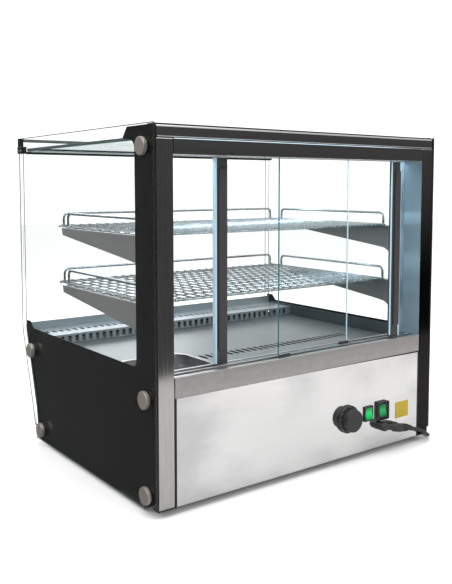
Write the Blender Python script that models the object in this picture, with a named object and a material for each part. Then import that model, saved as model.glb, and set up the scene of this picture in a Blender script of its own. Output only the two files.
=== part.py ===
"""Countertop hot food display case, metres, +Z up.

The customer side faces -Y and the operator side faces +Y. The case is a glass box on a low steel
base: bent front glass, printed side glasses, glass roof, and two sliding doors at the back.
"""

import bmesh
import bpy
from math import atan, cos, pi, radians, sin, tan
from mathutils import Matrix, Vector

# ---------------------------------------------------------------- driving dimensions
WIDTH = 0.702                 # over the side glasses
DEPTH = 0.568                 # front glass to rear face of the posts
HEIGHT = 0.658                # standing surface to top of the side glasses
KNOB_DEPTH = 0.020            # the knob is the only thing behind the posts
GAP = 0.0003                  # clearance between pieces that touch

HALF_W = WIDTH / 2
REAR_Y = (DEPTH - KNOB_DEPTH) / 2
FRONT_Y = REAR_Y - DEPTH
GLASS = 0.005
FOOT_H = 0.014
RAKE = 0.305                  # how far the front glass runs back for each metre down
KNEE_Z = 0.238                # height of the bend in the front glass
KNEE_R = 0.070

DECK_Z = 0.214
LEDGE_Z = 0.236
SILL_TOP = 0.236
SILL_BOTTOM = 0.2003
SHEET = 0.0015

POST_W = 0.0332
POST_OUT_X = HALF_W - GLASS - 0.0005
POST_IN_X = POST_OUT_X - POST_W
POST_D = 0.0485
COLUMN_D = 0.0225
HEAD_BOTTOM = 0.606
HEAD_TOP = 0.6328
ROOF_TOP = 0.654
ROOF_GLASS_Z = 0.634
ROOF_GLASS_T = 0.006

TRACK_OUT_Y = REAR_Y - 0.018
TRACK_IN_Y = REAR_Y - 0.036
TRACK_W = 0.014
DOOR_W = 0.333
DOOR_PANE_BOTTOM = 0.2350
DOOR_PANE_TOP = 0.6200
PROFILE_W = 0.026
LEFT_DOOR_X = 0.039           # where the doors stand at rest
RIGHT_DOOR_X = -0.0952

SHELF_HALF_W = 0.311
SHELF_FRONT = -0.205
SHELF_REAR = 0.1865
UPPER_SHELF_Z = 0.4725
LOWER_SHELF_Z = 0.3525
SHELF_T = 0.005
GUARD_H = 0.025

RUNNER_BOTTOM = 0.2262
TRAY_X = (0.150, 0.300)
TRAY_Y = (0.040, 0.180)
FAN_X, FAN_Y = -0.14, 0.01

KNOB_X, KNOB_Z = -0.097, 0.090
SWITCH_X = (-0.156, -0.197)   # power, then lamp
SWITCH_Z = 0.0905
GLAND_X, GLAND_Z = -0.190, 0.0600

CORD_D = 0.008
CORD_LIE = 0.0042             # height of the cord's middle where it lies on the table
COIL_X, COIL_Y = -0.430, 0.045
COIL_MEAN_R = 0.044
EXIT_DIRECTION = Vector((-1.0, 0.03, -0.24)).normalized()
RELIEF_ROOT = Vector((GLAND_X, REAR_Y + 0.0118, GLAND_Z))
RELIEF_L = 0.074
PLUG_ALONG = Vector((-0.62, -0.785, 0.0)).normalized()
PLUG_ENTRY = Vector((-0.4475, -0.0740, 0.0183))

COLOURS = {                   # base colour, metallic, roughness
    "steel": ((0.62, 0.62, 0.61), 1.0, 0.28),
    "mirror_steel": ((0.80, 0.80, 0.80), 1.0, 0.06),
    "dark_profile": ((0.05, 0.05, 0.052), 0.7, 0.25),
    "clear_glass": ((0.80, 0.92, 0.90), 0.0, 0.03),
    "black_plastic": ((0.02, 0.02, 0.02), 0.0, 0.40),
    "green_plastic": ((0.0, 0.60, 0.12), 0.0, 0.25),
    "satin_cap": ((0.50, 0.48, 0.45), 1.0, 0.32),
    "rubber": ((0.02, 0.02, 0.02), 0.0, 0.80),
    "aluminium": ((0.70, 0.70, 0.72), 1.0, 0.40),
}


# ---------------------------------------------------------------- small modelling tools
def clear_scene():
    for old in list(bpy.data.objects):
        bpy.data.objects.remove(old, do_unlink=True)


def material(name):
    found = bpy.data.materials.get(name)
    if found:
        return found
    colour, metallic, roughness = COLOURS[name]
    made = bpy.data.materials.new(name)
    made.use_nodes = True
    shader = made.node_tree.nodes["Principled BSDF"]
    shader.inputs["Base Color"].default_value = (*colour, 1.0)
    shader.inputs["Metallic"].default_value = metallic
    shader.inputs["Roughness"].default_value = roughness
    return made


def finish_mesh(name, bm, finish, at=(0, 0, 0), parent=None, smooth=False):
    """Turn a bmesh, modelled about its own origin, into a placed object."""
    bmesh.ops.recalc_face_normals(bm, faces=bm.faces)
    mesh = bpy.data.meshes.new(name)
    bm.to_mesh(mesh)
    bm.free()
    mesh.materials.append(material(finish))
    if smooth:
        mesh.shade_smooth()
        mesh.set_sharp_from_angle(angle=radians(35))
    made = bpy.data.objects.new(name, mesh)
    bpy.context.collection.objects.link(made)
    made.location = Vector(at)
    if parent:
        made.parent = parent
        made.location -= parent.location
    return made


def box(name, low, high, finish, parent=None, bevel=0.0, segments=2):
    """A block between two corners, with its origin at its middle."""
    low, high = Vector(low), Vector(high)
    size = high - low
    bm = bmesh.new()
    bmesh.ops.create_cube(bm, size=1.0, matrix=Matrix.Diagonal((*size, 1.0)))
    made = finish_mesh(name, bm, finish, (low + high) / 2, parent)
    if bevel:
        round_edges(made, bevel, segments)
    return made


def round_edges(made, width, segments=2, angle=40):
    rounding = made.modifiers.new("rounding", "BEVEL")
    rounding.width = width
    rounding.segments = segments
    rounding.limit_method = "ANGLE"
    rounding.angle_limit = radians(angle)


def side_profile(name, outline, x_low, x_high, finish, at_y=0.0, at_z=0.0, parent=None):
    """A (y, z) outline extruded along X."""
    mid = (x_low + x_high) / 2
    half = (x_high - x_low) / 2
    bm = bmesh.new()
    face = bm.faces.new([bm.verts.new((-half, y - at_y, z - at_z)) for y, z in outline])
    grown = bmesh.ops.extrude_face_region(bm, geom=[face])["geom"]
    moved = [item for item in grown if isinstance(item, bmesh.types.BMVert)]
    bmesh.ops.translate(bm, verts=moved, vec=(2 * half, 0, 0))
    return finish_mesh(name, bm, finish, (mid, at_y, at_z), parent)


def turned(name, profile, at, axis, finish, steps=32, parent=None):
    """A (radius, height) profile turned about an axis; it starts and ends on the axis."""
    bm = bmesh.new()
    chain = [bm.verts.new((r, 0, h)) for r, h in profile]
    edges = [bm.edges.new(pair) for pair in zip(chain, chain[1:])]
    bmesh.ops.spin(bm, geom=chain + edges, cent=(0, 0, 0), axis=(0, 0, 1), angle=2 * pi,
                   steps=steps, use_duplicate=False)
    bmesh.ops.remove_doubles(bm, verts=bm.verts, dist=1e-6)
    turn = Vector((0, 0, 1)).rotation_difference(Vector(axis)).to_matrix()
    bmesh.ops.rotate(bm, verts=bm.verts, cent=(0, 0, 0), matrix=turn)
    return finish_mesh(name, bm, finish, at, parent, smooth=True)


def as_guide(made):
    made.hide_render = True
    made.display_type = "WIRE"
    return made


def combine(made, tool, operation):
    step = made.modifiers.new(operation.lower(), "BOOLEAN")
    step.operation = operation
    step.solver = "EXACT"
    step.object = as_guide(tool)


def cut(made, low, high, bevel=0.0):
    combine(made, box(made.name + "_cutter", low, high, "steel", bevel=bevel), "DIFFERENCE")


def add(made, low, high):
    combine(made, box(made.name + "_addition", low, high, "steel"), "UNION")


def arc(centre_y, centre_z, radius, start, end, count):
    """Points along a circle in the YZ plane, angles in degrees from +Y towards +Z."""
    angles = [radians(start + (end - start) * i / count) for i in range(count + 1)]
    return [(centre_y + radius * cos(a), centre_z + radius * sin(a)) for a in angles]


def marker(name, at):
    """An empty on a joint's axis, which carries the pieces that move with it."""
    made = bpy.data.objects.new(name, None)
    bpy.context.collection.objects.link(made)
    made.location = at
    return made


# ---------------------------------------------------------------- glass
def front_path(behind, top, toe):
    """The bent front line, moved back by a distance, from its top down to its toe."""
    lean = atan(RAKE)
    radius = KNEE_R - behind
    bend_z = KNEE_Z + KNEE_R * tan(lean / 2)
    knee = arc(FRONT_Y + KNEE_R, bend_z, radius, 180, 180 + lean * 180 / pi, 4)
    last_y, last_z = knee[-1]
    return [(FRONT_Y + behind, top)] + knee + [(last_y + (last_z - toe) * RAKE, toe)]


def front_glass():
    top, toe = HEIGHT - 0.0010, 0.034
    outline = front_path(0.0, top, toe) + front_path(GLASS, top, toe)[::-1]
    side_profile("front_glass", outline, -HALF_W, HALF_W, "clear_glass")


def side_glass(side, name):
    edge = front_path(0.015, HEIGHT - 0.004, 0.084)
    toe_y = edge[-1][0]
    outline = arc(FRONT_Y + 0.019, HEIGHT - 0.004, 0.004, 90, 180, 3)[:-1] + edge
    outline += [(toe_y + 0.0073, 0.0400), (toe_y + 0.0073, 0.0320), (toe_y + 0.0028, 0.0305)]
    outline += arc(toe_y + 0.0135, 0.012, 0.006, 180, 270, 3)
    outline += [(REAR_Y - 0.041, 0.006), (REAR_Y, 0.027)]
    outline += arc(REAR_Y - 0.004, HEIGHT - 0.004, 0.004, 0, 90, 3)
    x_low, x_high = sorted((side * (HALF_W - GLASS), side * HALF_W))
    side_profile(name, outline, x_low, x_high, "clear_glass")


def roof_glass():
    half = HALF_W - GLASS - 0.002
    box("roof_glass", (-half, FRONT_Y + 0.030, ROOF_GLASS_Z),
        (half, REAR_Y - POST_D - GAP - 0.001, ROOF_GLASS_Z + ROOF_GLASS_T), "clear_glass")


def standoff_caps():
    """Round caps over the bolts that hold each side glass, five a side."""
    places = {
        "top": (0.242, 0.620), "rear_mid": (0.245, 0.199), "rear_low": (0.247, 0.036),
        "front_mid": (-0.2385, 0.198), "front_low": (-0.1925, 0.033),
    }
    profile = [(0, 0), (0.0155, 0), (0.0155, 0.0065), (0.0140, 0.0080), (0, 0.0080)]
    for side, hand in ((1, "near"), (-1, "far")):
        for place, (y, z) in places.items():
            turned(f"cap_{hand}_{place}", profile, (side * (HALF_W + GAP), y, z), (side, 0, 0),
                   "satin_cap", steps=20)


# ---------------------------------------------------------------- frame
def posts():
    for side, hand in ((1, "near"), (-1, "far")):
        x_low, x_high = sorted((side * POST_IN_X, side * POST_OUT_X))
        box(f"post_{hand}", (x_low, REAR_Y - POST_D, FOOT_H), (x_high, REAR_Y, HEAD_TOP),
            "mirror_steel", bevel=0.0015)
        box(f"column_{hand}", (x_low, REAR_Y - POST_D - GAP - COLUMN_D, DECK_Z + GAP),
            (x_high - 0.0015, REAR_Y - POST_D - GAP, HEAD_TOP), "mirror_steel", bevel=0.0015)


def door_head():
    half = POST_IN_X - GAP
    head = box("door_head", (-half, REAR_Y - POST_D, HEAD_BOTTOM), (half, REAR_Y, HEAD_TOP),
               "dark_profile")
    for track in (TRACK_OUT_Y, TRACK_IN_Y):
        cut(head, (-half - 0.01, track - TRACK_W / 2, HEAD_BOTTOM - 0.01),
            (half + 0.01, track + TRACK_W / 2, DOOR_PANE_TOP + 0.002))


def roof_rear_profile():
    box("roof_rear_profile", (-POST_OUT_X, REAR_Y - POST_D, HEAD_TOP + GAP),
        (POST_OUT_X, REAR_Y, ROOF_TOP), "dark_profile", bevel=0.004, segments=3)


def roof_front_profile():
    low_y, high_y = FRONT_Y + 0.016, FRONT_Y + 0.040
    rail = box("roof_front_profile", (-0.331, low_y, 0.626), (0.331, high_y, 0.642),
               "dark_profile", bevel=0.003)
    cut(rail, (-0.34, FRONT_Y + 0.0297, ROOF_GLASS_Z - GAP),
        (0.34, high_y + 0.01, ROOF_GLASS_Z + ROOF_GLASS_T + GAP))


def corner_clamps():
    """Black corner pieces that hold the front glass to the side glasses."""
    outline = [(FRONT_Y + 0.0055, 0.6215), (FRONT_Y + 0.049, 0.6215), (FRONT_Y + 0.049, 0.6335),
               (FRONT_Y + 0.0285, 0.6335), (FRONT_Y + 0.0285, 0.6565), (FRONT_Y + 0.0055, 0.6565)]
    for side, hand in ((1, "near"), (-1, "far")):
        x_low, x_high = sorted((side * (HALF_W - 0.0185), side * (HALF_W - GLASS - GAP)))
        clamp = side_profile(f"corner_clamp_{hand}", outline, x_low, x_high, "black_plastic")
        round_edges(clamp, 0.001, 1)


# ---------------------------------------------------------------- base
def base_tub():
    """Folded steel tub that carries everything, open at the top and towards the rear panel."""
    rear = REAR_Y - POST_D - GAP - 0.0005
    top = DECK_Z - SHEET - 0.0006
    front = front_path(0.030, 0.30, 0.045)[-1][0]
    slope = front - (top - 0.045) * RAKE
    outer = [(slope, top), (front, 0.045), (front, FOOT_H), (rear, FOOT_H), (rear, top)]
    half = HALF_W - GLASS - 0.0008
    tub = side_profile("base_tub", outer, -half, half, "steel")
    wall = 0.002
    inner = [(slope + wall, top + 0.02), (front + wall, 0.046), (front + wall, FOOT_H + wall),
             (rear + 0.02, FOOT_H + wall), (rear + 0.02, top + 0.02)]
    inside = side_profile("base_tub_inside", inner, -half + wall, half - wall, "steel")
    combine(tub, inside, "DIFFERENCE")
    tongue = POST_IN_X - 0.001
    add(tub, (-tongue, rear - 0.010, FOOT_H), (tongue, REAR_Y - 0.0036, FOOT_H + wall - 0.0004))


def rear_panel():
    half = POST_IN_X - GAP
    panel = box("rear_panel", (-half, REAR_Y - 0.0032, FOOT_H), (half, REAR_Y - 0.0002, SILL_BOTTOM - GAP),
                "mirror_steel")
    for x, z, wide, high in ((KNOB_X, KNOB_Z, 0.010, 0.010), (SWITCH_X[0], SWITCH_Z, 0.021, 0.026),
                             (SWITCH_X[1], SWITCH_Z, 0.021, 0.026), (GLAND_X, GLAND_Z, 0.012, 0.012)):
        cut(panel, (x - wide / 2, REAR_Y - 0.02, z - high / 2), (x + wide / 2, REAR_Y + 0.02, z + high / 2))


def rear_sill():
    half = POST_IN_X - GAP
    sill = box("rear_sill", (-half, REAR_Y - POST_D, SILL_BOTTOM), (half, REAR_Y, SILL_TOP), "steel")
    for track in (TRACK_OUT_Y, TRACK_IN_Y):
        cut(sill, (-half - 0.01, track - TRACK_W / 2, RUNNER_BOTTOM - 0.0004),
            (half + 0.01, track + TRACK_W / 2, SILL_TOP + 0.01))


def deck():
    """Folded deck: front riser, ledge, step and floor, with air slots and an opening for the tray."""
    riser_y, step_y, rear_y = FRONT_Y + 0.024, FRONT_Y + 0.114, REAR_Y - POST_D - 0.003
    under = DECK_Z - SHEET
    outline = [
        (riser_y, under), (riser_y + SHEET, under), (riser_y + SHEET, LEDGE_Z - SHEET),
        (step_y - SHEET, LEDGE_Z - SHEET), (step_y - SHEET, under), (rear_y, under), (rear_y, DECK_Z),
        (step_y, DECK_Z), (step_y, LEDGE_Z), (riser_y + SHEET, LEDGE_Z), (riser_y + SHEET, 0.254),
        (riser_y, 0.254),
    ]
    half = HALF_W - GLASS - 0.002
    plate = side_profile("deck", outline, -half, half, "steel")
    pitch, slot_y = 0.050, FRONT_Y + 0.069
    for i in range(12):
        x = (i - 5.5) * pitch
        cut(plate, (x - 0.015, slot_y - 0.003, LEDGE_Z - 0.004), (x + 0.015, slot_y + 0.003, LEDGE_Z + 0.004))
        cut(plate, (x - 0.015, step_y - 0.006, 0.222), (x + 0.015, step_y + 0.006, 0.228))
    for i in range(8):
        x = 0.095 - i * 0.050
        cut(plate, (x - 0.004, 0.084, DECK_Z - 0.005), (x + 0.004, 0.106, DECK_Z + 0.005))
    cut(plate, (TRAY_X[0] - 0.001, TRAY_Y[0] - 0.001, DECK_Z - 0.01),
        (TRAY_X[1] + 0.001, TRAY_Y[1] + 0.001, DECK_Z + 0.01))


def water_tray(parent):
    floor, rim = DECK_Z - 0.034, DECK_Z + GAP
    (x0, x1), (y0, y1) = TRAY_X, TRAY_Y
    pan = box("water_tray", (x0, y0, floor), (x1, y1, rim + 0.0012), "steel", parent)
    add(pan, (x0 - 0.007, y0 - 0.007, rim), (x1 + 0.007, y1 + 0.007, rim + 0.0012))
    cut(pan, (x0 + SHEET, y0 + SHEET, floor + SHEET), (x1 - SHEET, y1 - SHEET, rim + 0.02), bevel=0.006)


def feet():
    profile = [(0, 0), (0.017, 0), (0.019, 0.003), (0.019, FOOT_H - GAP), (0, FOOT_H - GAP)]
    for x in (-0.27, 0.27):
        for y in (-0.135, 0.165):
            name = ("near" if x > 0 else "far") + ("_rear" if y > 0 else "_front")
            turned("foot_" + name, profile, (x, y, 0), (0, 0, 1), "rubber", steps=20)


def heating_element():
    """A hairpin of round tube above the tub's floor, fed through the rear panel's space."""
    wire = bpy.data.curves.new("heating_element", "CURVE")
    wire.dimensions = "3D"
    wire.bevel_depth = 0.004
    wire.bevel_resolution = 2
    wire.use_fill_caps = True
    legs = [Vector((0.03, 0.19 - 0.03 * i, 0)) for i in range(9)]
    bend = [Vector((0.03 * cos(a), -0.05 + 0.03 * -sin(a), 0)) for a in
            [pi * i / 8 for i in range(1, 8)]]
    points = legs + bend + [Vector((-p.x, p.y, 0)) for p in reversed(legs)]
    spline = wire.splines.new("POLY")
    spline.points.add(len(points) - 1)
    for slot, point in zip(spline.points, points):
        slot.co = (*point, 1.0)
    wire.materials.append(material("steel"))
    made = bpy.data.objects.new("heating_element", wire)
    bpy.context.collection.objects.link(made)
    made.location = (0.05, 0, 0.12)


def fan(parent):
    turned("fan_motor", [(0, 0), (0.034, 0), (0.034, 0.048), (0.006, 0.048), (0.006, 0.058), (0, 0.058)],
           (FAN_X, FAN_Y, FOOT_H + 0.0025), (0, 0, 1), "steel", steps=24)
    blades, outer, inner, height = 12, 0.058, 0.020, 0.026
    bm = bmesh.new()
    rim = []
    for i in range(blades):
        middle = 2 * pi * i / blades
        for radius, turn in ((inner, -0.10), (outer, 0.02), (outer, 0.08), (inner, 0.10)):
            rim.append(bm.verts.new((radius * cos(middle + turn), radius * sin(middle + turn), 0)))
    face = bm.faces.new(rim)
    grown = bmesh.ops.extrude_face_region(bm, geom=[face])["geom"]
    top = [g for g in grown if isinstance(g, bmesh.types.BMVert)]
    bmesh.ops.translate(bm, verts=top, vec=(0, 0, height))
    finish_mesh("fan_impeller", bm, "aluminium", (FAN_X, FAN_Y, 0.078), parent)


# ---------------------------------------------------------------- shelves
def shelf(name, z, across, count, parent):
    """A flat lattice of square rods with three raised guard loops, as one closed body.

    across is "Y" where the rods run front to back, and "X" where they run side to side.
    """
    rod = SHELF_T
    low = (-SHELF_HALF_W, SHELF_FRONT)
    high = (SHELF_HALF_W, SHELF_REAR)

    def lines(start, end, bars):
        step = (end - start - rod) / bars
        found = []
        for i in range(bars + 1):
            found += [start + i * step, start + i * step + rod]
        return found

    xs = lines(low[0], high[0], count if across == "Y" else 2)
    ys = lines(low[1], high[1], 2 if across == "Y" else count)
    bm = bmesh.new()
    grid = {(i, j): bm.verts.new((x, y, -rod / 2)) for i, x in enumerate(xs) for j, y in enumerate(ys)}
    for i in range(len(xs) - 1):
        for j in range(len(ys) - 1):
            if i % 2 == 0 or j % 2 == 0:
                bm.faces.new([grid[i, j], grid[i + 1, j], grid[i + 1, j + 1], grid[i, j + 1]])
    grown = bmesh.ops.extrude_face_region(bm, geom=bm.faces[:])["geom"]
    bmesh.ops.translate(bm, verts=[g for g in grown if isinstance(g, bmesh.types.BMVert)], vec=(0, 0, rod))
    rack = finish_mesh(name, bm, "steel", (0, 0, z - rod / 2), parent)
    rail = 0.004
    inset = 0.0005
    x_in, x_out = SHELF_HALF_W - inset - rail, SHELF_HALF_W - inset
    top = z + GUARD_H
    root = z - rod / 2
    for side in (1, -1):
        xa, xb = sorted((side * x_in, side * x_out))
        add(rack, (xa, SHELF_FRONT + 0.030, top - rail), (xb, SHELF_REAR - 0.012, top))
        for y in (SHELF_FRONT + 0.030, SHELF_REAR - 0.016):
            add(rack, (xa, y, root), (xb, y + rail, top - 0.001))
    y0 = SHELF_FRONT + inset
    add(rack, (-SHELF_HALF_W + 0.02, y0, top - rail), (SHELF_HALF_W - 0.02, y0 + rail, top))
    for x in (-SHELF_HALF_W + 0.02, SHELF_HALF_W - 0.024):
        add(rack, (x, y0, root), (x + rail, y0 + rail, top - 0.001))


def shelf_bracket(name, side, z):
    """Sloping arm that hangs on the inner column, with a flange under the shelf."""
    top = z - SHELF_T - GAP
    rear = REAR_Y - POST_D - GAP - COLUMN_D - GAP
    front = -0.153
    outline = [(front, top), (front + 0.004, top - 0.0145), (0.150, top - 0.048), (0.170, top - 0.051),
               (0.182, top - 0.058), (rear, top - 0.068), (rear, top)]
    x_low, x_high = sorted((side * 0.3145, side * 0.3165))
    arm = side_profile(name, outline, x_low, x_high, "steel")
    x_low, x_high = sorted((side * 0.300, side * 0.3155))
    add(arm, (x_low, front + 0.006, top - 0.002), (x_high, rear - 0.004, top - 0.0002))


# ---------------------------------------------------------------- doors
def sliding_door(name, centre_x, track, outer, parent):
    """outer is the side, +1 or -1, that carries the handle profile."""
    half = DOOR_W / 2
    edge, inner = centre_x + outer * half, centre_x - outer * half
    seam = edge - outer * (PROFILE_W + GAP)
    x_low, x_high = sorted((seam, inner))
    box(name + "_pane", (x_low, track - 0.002, DOOR_PANE_BOTTOM), (x_high, track + 0.002, DOOR_PANE_TOP),
        "clear_glass", parent)
    x_low, x_high = sorted((edge, edge - outer * PROFILE_W))
    box(name + "_profile", (x_low, track - 0.0055, SILL_TOP + 0.0015),
        (x_high, track + 0.0050, HEAD_BOTTOM - 0.0015), "dark_profile", parent, bevel=0.001)
    middle = (x_low + x_high) / 2
    box(name + "_grip", (middle - 0.008, track + 0.0053, 0.262), (middle + 0.008, track + 0.0088, 0.586),
        "black_plastic", parent, bevel=0.0012)
    x_low, x_high = sorted((edge, inner))
    runner = box(name + "_runner", (x_low, track - 0.0042, RUNNER_BOTTOM), (x_high, track + 0.0042, 0.2345),
                 "black_plastic", parent)
    shoe_low, shoe_high = sorted((inner, inner + outer * 0.026))
    add(runner, (shoe_low, track + 0.0023, 0.2300), (shoe_high, track + 0.0058, 0.2405))


# ---------------------------------------------------------------- controls
def thermostat_knob(parent):
    profile = [(0, 0), (0.028, 0), (0.028, 0.0050), (0.0265, 0.0065), (0.0250, 0.0080),
               (0.0238, KNOB_DEPTH - 0.0022), (0.0220, KNOB_DEPTH - GAP), (0, KNOB_DEPTH - GAP)]
    turned("thermostat_knob", profile, (KNOB_X, REAR_Y + GAP, KNOB_Z), (0, 1, 0), "black_plastic",
           steps=40, parent=parent)


def rocker_switch(number, x, parent):
    front = REAR_Y + 0.0035
    wide, high = 0.0255, 0.0310
    bezel = box(f"switch_bezel_{number}", (x - wide / 2, REAR_Y + 0.0001, SWITCH_Z - high / 2),
                (x + wide / 2, front, SWITCH_Z + high / 2), "black_plastic", bevel=0.0008)
    cut(bezel, (x - 0.0100, REAR_Y - 0.01, SWITCH_Z - 0.0128),
        (x + 0.0100, front + 0.01, SWITCH_Z + 0.0128))
    tilt = radians(8)
    outline = [(-0.0060, -0.006), (0.0018, -0.0118), (0.0044, -0.0118), (0.0022, -0.004), (0.0018, 0.0),
               (0.0022, 0.004), (0.0044, 0.0118), (0.0018, 0.0118), (-0.0060, 0.006)]
    tilted = [(y * cos(tilt) - z * sin(tilt), y * sin(tilt) + z * cos(tilt)) for y, z in outline]
    placed = [(y + REAR_Y + 0.001, z + SWITCH_Z) for y, z in tilted]
    side_profile(f"rocker_{number}", placed, x - 0.0095, x + 0.0095, "green_plastic",
                 REAR_Y + 0.001, SWITCH_Z, parent)


def switch_cover():
    """Clear splash cover over the second switch, open towards the panel."""
    x = SWITCH_X[1]
    cover = box("switch_cover", (x - 0.0155, REAR_Y + 0.0001, SWITCH_Z - 0.0190),
                (x + 0.0155, REAR_Y + 0.0125, SWITCH_Z + 0.0190), "clear_glass", bevel=0.002)
    cut(cover, (x - 0.0138, REAR_Y - 0.01, SWITCH_Z - 0.0168),
        (x + 0.0138, REAR_Y + 0.0112, SWITCH_Z + 0.0168))


def cable_relief():
    """Elbow bush: a flange on the panel, then a ribbed sleeve that runs along the panel."""
    flange = turned("cable_relief", [(0, 0), (0.0095, 0), (0.0095, 0.016), (0.0075, 0.020), (0, 0.020)],
                    (GLAND_X, REAR_Y + 0.0001, GLAND_Z), (0, 1, 0), "black_plastic", steps=20)
    sleeve = turned("cable_relief_sleeve", [(0, -0.004), (0.0062, -0.004), (0.0066, 0.028), (0.0088, 0.031),
                                            (0.0088, 0.052), (0.0052, RELIEF_L), (0, RELIEF_L)],
                    RELIEF_ROOT, EXIT_DIRECTION, "black_plastic", steps=20)
    combine(flange, sleeve, "UNION")


# ---------------------------------------------------------------- mains lead
def smooth_route(points, spacing):
    """Evenly spaced points on a Catmull-Rom curve through the route's own points."""
    ends = [points[0] * 2 - points[1]] + list(points) + [points[-1] * 2 - points[-2]]
    dense = []
    for a, b, c, d in zip(ends, ends[1:], ends[2:], ends[3:]):
        for i in range(24):
            t = i / 24
            dense.append(0.5 * ((2 * b) + (c - a) * t + (2 * a - 5 * b + 4 * c - d) * t * t
                                + (3 * b - a - 3 * c + d) * t ** 3))
    dense.append(points[-1])
    length = sum((q - p).length for p, q in zip(dense, dense[1:]))
    count = max(3, round(length / spacing))
    wanted = [length * i / count for i in range(count + 1)]
    found, walked, index = [dense[0]], 0.0, 0
    for target in wanted[1:-1]:
        while walked + (dense[index + 1] - dense[index]).length < target:
            walked += (dense[index + 1] - dense[index]).length
            index += 1
        step = dense[index + 1] - dense[index]
        found.append(dense[index] + step * ((target - walked) / step.length))
    return found + [dense[-1]]


def cord_tube(name, points):
    wire = bpy.data.curves.new(name, "CURVE")
    wire.dimensions = "3D"
    wire.bevel_depth = CORD_D / 2
    wire.bevel_resolution = 2
    wire.use_fill_caps = True
    route = smooth_route([Vector(p) for p in points], CORD_D * 2.2)
    spline = wire.splines.new("POLY")
    spline.points.add(len(route) - 1)
    for slot, point in zip(spline.points, route):
        slot.co = (*point, 1.0)
    wire.materials.append(material("rubber"))
    made = bpy.data.objects.new(name, wire)
    bpy.context.collection.objects.link(made)


def mains_lead():
    start = RELIEF_ROOT + EXIT_DIRECTION * (RELIEF_L + GAP)
    cord_tube("cord_lead", [
        start, start + EXIT_DIRECTION * 0.016, start + EXIT_DIRECTION * 0.032,
        (-0.3120, 0.2885, 0.0265), (-0.3270, 0.2862, 0.0180), (-0.3400, 0.2805, 0.0115),
        (-0.3505, 0.2715, 0.0072), (-0.3585, 0.2600, 0.0050), (-0.3640, 0.2460, 0.0043),
        (-0.3675, 0.2290, CORD_LIE), (-0.3692, 0.2080, CORD_LIE), (-0.3702, 0.1850, CORD_LIE),
        (-0.3710, 0.1600, CORD_LIE), (-0.3725, 0.1300, CORD_LIE), (-0.3750, 0.1030, CORD_LIE),
        (-0.3772, 0.0800, CORD_LIE),
    ])
    inner, outer, height = COIL_MEAN_R - 0.0125, COIL_MEAN_R + 0.0125, 0.0152
    bm = bmesh.new()
    section = [(inner, 0.0002), (outer, 0.0002), (outer, 0.0092), (outer - 0.004, height),
               (inner + 0.004, height), (inner, 0.0092)]
    ring = [bm.verts.new((r, 0, h)) for r, h in section]
    edges = [bm.edges.new((a, b)) for a, b in zip(ring, ring[1:] + ring[:1])]
    bmesh.ops.spin(bm, geom=ring + edges, cent=(0, 0, 0), axis=(0, 0, 1), angle=2 * pi, steps=36)
    bmesh.ops.remove_doubles(bm, verts=bm.verts, dist=1e-6)
    finish_mesh("cord_coil", bm, "rubber", (COIL_X, COIL_Y, 0), smooth=True)
    leaving, rise_end = Vector((-0.3905, -0.0020, CORD_LIE)), PLUG_ENTRY - PLUG_ALONG * 0.020
    rise = [leaving.lerp(rise_end, t) for t in (0.0, 0.2, 0.4, 0.6, 0.8)]
    for step, point in enumerate(rise):
        t = step / 5
        point.z = CORD_LIE + (PLUG_ENTRY.z - CORD_LIE) * t * t * (3 - 2 * t)
    cord_tube("cord_tail", rise + [rise_end, PLUG_ENTRY - PLUG_ALONG * 0.010, PLUG_ENTRY])


def mains_plug():
    """Moulded plug lying beside the coil, its pins pointing away from the lead."""
    tail = PLUG_ENTRY + PLUG_ALONG * GAP
    body = turned("plug", [(0, 0), (0.0058, 0), (0.0072, 0.022), (0.0150, 0.030), (0.0180, 0.040),
                           (0.0180, 0.056), (0, 0.056)], tail, PLUG_ALONG, "black_plastic", steps=24)
    across = PLUG_ALONG.cross(Vector((0, 0, 1)))
    for shift in (-0.0095, 0.0095):
        pin = turned("plug_pin", [(0, -0.004), (0.0024, -0.004), (0.0024, 0.018), (0, 0.0195)],
                     tail + PLUG_ALONG * 0.056 + across * shift, PLUG_ALONG, "black_plastic", steps=10)
        combine(body, pin, "UNION")


# ---------------------------------------------------------------- assembly
def build():
    clear_scene()
    front_glass()
    side_glass(1, "side_glass_near")
    side_glass(-1, "side_glass_far")
    roof_glass()
    standoff_caps()
    posts()
    door_head()
    roof_rear_profile()
    roof_front_profile()
    corner_clamps()
    base_tub()
    rear_panel()
    rear_sill()
    deck()
    water_tray(marker("tray_lift", (sum(TRAY_X) / 2, sum(TRAY_Y) / 2, DECK_Z)))
    feet()
    heating_element()
    fan(marker("fan_axis", (FAN_X, FAN_Y, 0.078)))
    shelf("upper_shelf", UPPER_SHELF_Z, "Y", 14, marker("upper_shelf_lift", (0, 0, UPPER_SHELF_Z)))
    shelf("lower_shelf", LOWER_SHELF_Z, "X", 9, marker("lower_shelf_lift", (0, 0, LOWER_SHELF_Z)))
    for side, hand in ((1, "near"), (-1, "far")):
        shelf_bracket(f"upper_bracket_{hand}", side, UPPER_SHELF_Z)
        shelf_bracket(f"lower_bracket_{hand}", side, LOWER_SHELF_Z)
    sliding_door("left_door", LEFT_DOOR_X, TRACK_IN_Y, 1,
                 marker("left_door_slide", (LEFT_DOOR_X, TRACK_IN_Y, 0.42)))
    sliding_door("right_door", RIGHT_DOOR_X, TRACK_OUT_Y, -1,
                 marker("right_door_slide", (RIGHT_DOOR_X, TRACK_OUT_Y, 0.42)))
    thermostat_knob(marker("knob_axis", (KNOB_X, REAR_Y, KNOB_Z)))
    for number, x in enumerate(SWITCH_X, start=1):
        rocker_switch(number, x, marker(f"rocker_axis_{number}", (x, REAR_Y + 0.001, SWITCH_Z)))
    switch_cover()
    cable_relief()
    mains_lead()
    mains_plug()


build()
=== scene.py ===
"""A countertop hot food display case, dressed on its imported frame. Metres, +Z up, operator side +Y."""

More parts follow.
